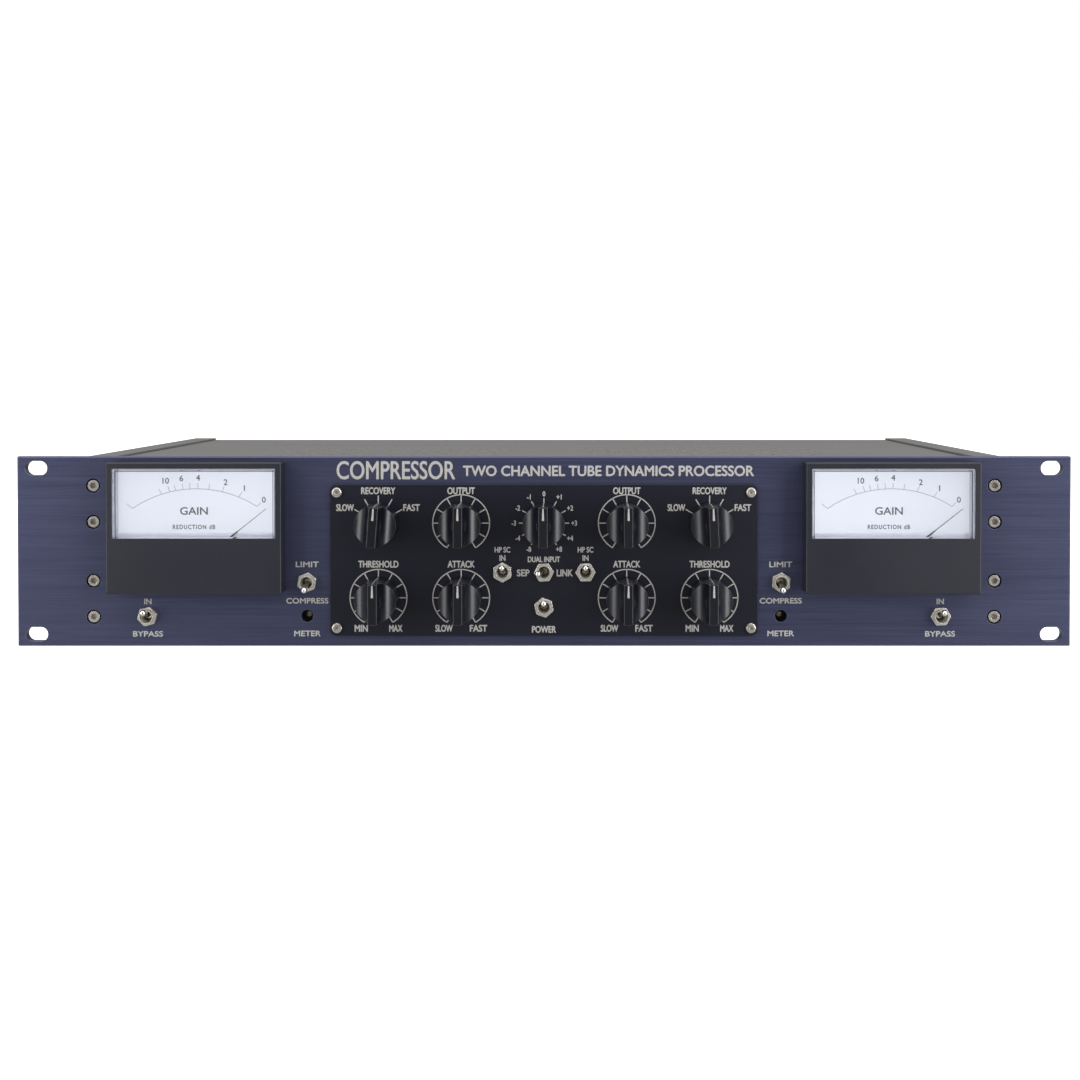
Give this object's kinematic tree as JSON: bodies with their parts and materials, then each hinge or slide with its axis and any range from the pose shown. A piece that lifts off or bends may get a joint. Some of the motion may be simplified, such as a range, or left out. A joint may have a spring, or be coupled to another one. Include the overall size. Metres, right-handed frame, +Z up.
{
  "type": "rack compressor",
  "caption": "Two-unit 19 inch tube compressor: blue brushed panel, two lit needle meters, black control plate with bar knobs and toggles, metal box with rear connectors.",
  "frame": {"origin": "centre of the front panel's rear face, where the rack holds it", "axes": "+X right seen from the front, +Y to the rear, +Z up"},
  "size_m": [0.4826, 0.2555, 0.087],
  "materials": {
    "panel_blue": "brushed along its length and anodised slate blue",
    "plate_black": "fine satin black anodise",
    "dark_steel": "black oxide socket screws",
    "meter_black": "satin moulded black",
    "clear_window": "clear polished pane",
    "lit_scale": "white translucent dial, lit from behind",
    "pointer_black": "matt black paint",
    "plain_steel": "plain zinc plate",
    "switch_metal": "dull nickel plate",
    "bright_nickel": "polished nickel",
    "trimmer_blue": "dark blue moulded plastic",
    "chassis_grey": "satin warm grey anodise",
    "connector_nickel": "satin nickel shells",
    "inlet_black": "fine textured black",
    "knob_black": "satin black phenolic",
    "board_green": "green solder mask",
    "standoff_brass": "turned brass",
    "socket_ceramic": "unglazed white ceramic",
    "tube_glass": "clear glass with a dark inner structure",
    "wound_core": "copper winding under yellow tape",
    "can_steel": "satin steel cans",
    "capacitor_can": "dark blue sleeve"
  },
  "bodies": {
    "chassis": {"front_panel": "panel_blue", "control_plate": "plate_black", "control_plate_screws": "bright_nickel", "front_panel_screws": "bright_nickel", "left_meter_housing": "meter_black", "right_meter_housing": "meter_black", "left_meter_window": "clear_window", "right_meter_window": "clear_window", "left_meter_scale": "lit_scale", "right_meter_scale": "lit_scale", "meter_movements": "plain_steel", "meter_clamp_rings": "plain_steel", "toggle_bodies": "switch_metal", "potentiometers": "switch_metal", "rotary_switches": "switch_metal", "toggle_nuts": "bright_nickel", "control_nuts": "bright_nickel", "trimmer_bodies": "trimmer_blue", "left_side_rail": "chassis_grey", "right_side_rail": "chassis_grey", "top_cover": "chassis_grey", "bottom_cover": "chassis_grey", "rear_panel": "chassis_grey", "rear_panel_screws": "dark_steel", "xlr_inputs": "connector_nickel", "xlr_outputs": "connector_nickel", "connector_screws": "dark_steel", "power_inlet": "inlet_black", "audio_board": "board_green", "power_board": "board_green", "board_standoffs": "standoff_brass", "tube_sockets": "socket_ceramic", "tubes": "tube_glass", "power_transformer": "wound_core", "audio_transformers": "can_steel", "filter_capacitors": "capacitor_can"},
    "left_needle": {"left_meter_pointer": "pointer_black"},
    "right_needle": {"right_meter_pointer": "pointer_black"},
    "left_trim": {"left_trimmer_rotor": "standoff_brass"},
    "right_trim": {"right_trimmer_rotor": "standoff_brass"},
    "left_latch": {"left_xlr_latch": "bright_nickel"},
    "right_latch": {"right_xlr_latch": "bright_nickel"},
    "drawer": {"fuse_drawer": "inlet_black"},
    "turning_left_recovery_knob": {"left_recovery_knob": "knob_black"},
    "turning_left_output_knob": {"left_output_knob": "knob_black"},
    "turning_input_knob": {"input_knob": "knob_black"},
    "turning_right_output_knob": {"right_output_knob": "knob_black"},
    "turning_right_recovery_knob": {"right_recovery_knob": "knob_black"},
    "turning_left_threshold_knob": {"left_threshold_knob": "knob_black"},
    "turning_left_attack_knob": {"left_attack_knob": "knob_black"},
    "turning_right_attack_knob": {"right_attack_knob": "knob_black"},
    "turning_right_threshold_knob": {"right_threshold_knob": "knob_black"},
    "swinging_left_bypass_lever": {"left_bypass_lever": "bright_nickel"},
    "swinging_left_mode_lever": {"left_mode_lever": "bright_nickel"},
    "swinging_left_filter_lever": {"left_filter_lever": "bright_nickel"},
    "swinging_link_lever": {"link_lever": "bright_nickel"},
    "swinging_power_lever": {"power_lever": "bright_nickel"},
    "swinging_right_filter_lever": {"right_filter_lever": "bright_nickel"},
    "swinging_right_mode_lever": {"right_mode_lever": "bright_nickel"},
    "swinging_right_bypass_lever": {"right_bypass_lever": "bright_nickel"}
  },
  "joints": [
    {"name": "left_recovery_turn", "type": "hinge", "parent": "chassis", "child": "turning_left_recovery_knob", "pos_m": [-0.0757, -0.00636, 0.0131], "axis": [0, 1, 0], "range_deg": [-60, 60]},
    {"name": "left_output_turn", "type": "hinge", "parent": "chassis", "child": "turning_left_output_knob", "pos_m": [-0.03785, -0.00636, 0.0131], "axis": [0, 1, 0], "range_deg": [-150, 150]},
    {"name": "input_turn", "type": "hinge", "parent": "chassis", "child": "turning_input_knob", "pos_m": [0, -0.00636, 0.0131], "axis": [0, 1, 0], "range_deg": [-150, 150]},
    {"name": "right_output_turn", "type": "hinge", "parent": "chassis", "child": "turning_right_output_knob", "pos_m": [0.03785, -0.00636, 0.0131], "axis": [0, 1, 0], "range_deg": [-150, 150]},
    {"name": "right_recovery_turn", "type": "hinge", "parent": "chassis", "child": "turning_right_recovery_knob", "pos_m": [0.0757, -0.00636, 0.0131], "axis": [0, 1, 0], "range_deg": [-60, 60]},
    {"name": "left_threshold_turn", "type": "hinge", "parent": "chassis", "child": "turning_left_threshold_knob", "pos_m": [-0.0757, -0.00636, -0.0211], "axis": [0, 1, 0], "range_deg": [-150, 150]},
    {"name": "left_attack_turn", "type": "hinge", "parent": "chassis", "child": "turning_left_attack_knob", "pos_m": [-0.03785, -0.00636, -0.0211], "axis": [0, 1, 0], "range_deg": [-150, 150]},
    {"name": "right_attack_turn", "type": "hinge", "parent": "chassis", "child": "turning_right_attack_knob", "pos_m": [0.03785, -0.00636, -0.0211], "axis": [0, 1, 0], "range_deg": [-150, 150]},
    {"name": "right_threshold_turn", "type": "hinge", "parent": "chassis", "child": "turning_right_threshold_knob", "pos_m": [0.0757, -0.00636, -0.0211], "axis": [0, 1, 0], "range_deg": [-150, 150]},
    {"name": "left_bypass_flip", "type": "hinge", "parent": "chassis", "child": "swinging_left_bypass_lever", "pos_m": [-0.1816, -0.00226, -0.0297], "axis": [1, 0, 0], "range_deg": [0, 26]},
    {"name": "left_mode_flip", "type": "hinge", "parent": "chassis", "child": "swinging_left_mode_lever", "pos_m": [-0.1085, -0.00226, -0.0141], "axis": [1, 0, 0], "range_deg": [-26, 0]},
    {"name": "left_filter_flip", "type": "hinge", "parent": "chassis", "child": "swinging_left_filter_lever", "pos_m": [-0.019, -0.00226, -0.0093], "axis": [1, 0, 0], "range_deg": [0, 26]},
    {"name": "link_flip", "type": "hinge", "parent": "chassis", "child": "swinging_link_lever", "pos_m": [0, -0.00226, -0.0093], "axis": [0, 0, 1], "range_deg": [0, 26]},
    {"name": "power_flip", "type": "hinge", "parent": "chassis", "child": "swinging_power_lever", "pos_m": [0, -0.00226, -0.0254], "axis": [1, 0, 0], "range_deg": [0, 26]},
    {"name": "right_filter_flip", "type": "hinge", "parent": "chassis", "child": "swinging_right_filter_lever", "pos_m": [0.019, -0.00226, -0.0093], "axis": [1, 0, 0], "range_deg": [0, 26]},
    {"name": "right_mode_flip", "type": "hinge", "parent": "chassis", "child": "swinging_right_mode_lever", "pos_m": [0.1085, -0.00226, -0.0141], "axis": [1, 0, 0], "range_deg": [-26, 0]},
    {"name": "right_bypass_flip", "type": "hinge", "parent": "chassis", "child": "swinging_right_bypass_lever", "pos_m": [0.1816, -0.00226, -0.0297], "axis": [1, 0, 0], "range_deg": [0, 26]},
    {"name": "left_needle_swing", "type": "hinge", "parent": "chassis", "child": "left_needle", "pos_m": [-0.1582, -0.0104, -0.0055], "axis": [0, 1, 0], "range_deg": [-103, 1.5], "stiffness_Nm_per_rad": 0.001},
    {"name": "left_trim_turn", "type": "hinge", "parent": "chassis", "child": "left_trim", "pos_m": [-0.1086, 0, -0.0297], "axis": [0, 1, 0], "range_deg": [-135, 135]},
    {"name": "left_latch_push", "type": "slide", "parent": "chassis", "child": "left_latch", "axis": [0, -1, 0], "range_m": [0, 0.0008], "stiffness_N_per_m": 400},
    {"name": "right_needle_swing", "type": "hinge", "parent": "chassis", "child": "right_needle", "pos_m": [0.1582, -0.0104, -0.0055], "axis": [0, 1, 0], "range_deg": [-103, 1.5], "stiffness_Nm_per_rad": 0.001},
    {"name": "right_trim_turn", "type": "hinge", "parent": "chassis", "child": "right_trim", "pos_m": [0.1086, 0, -0.0297], "axis": [0, 1, 0], "range_deg": [-135, 135]},
    {"name": "right_latch_push", "type": "slide", "parent": "chassis", "child": "right_latch", "axis": [0, -1, 0], "range_m": [0, 0.0008], "stiffness_N_per_m": 400},
    {"name": "drawer_pull", "type": "slide", "parent": "chassis", "child": "drawer", "axis": [0, 1, 0], "range_m": [0, 0.012]}
  ]
}
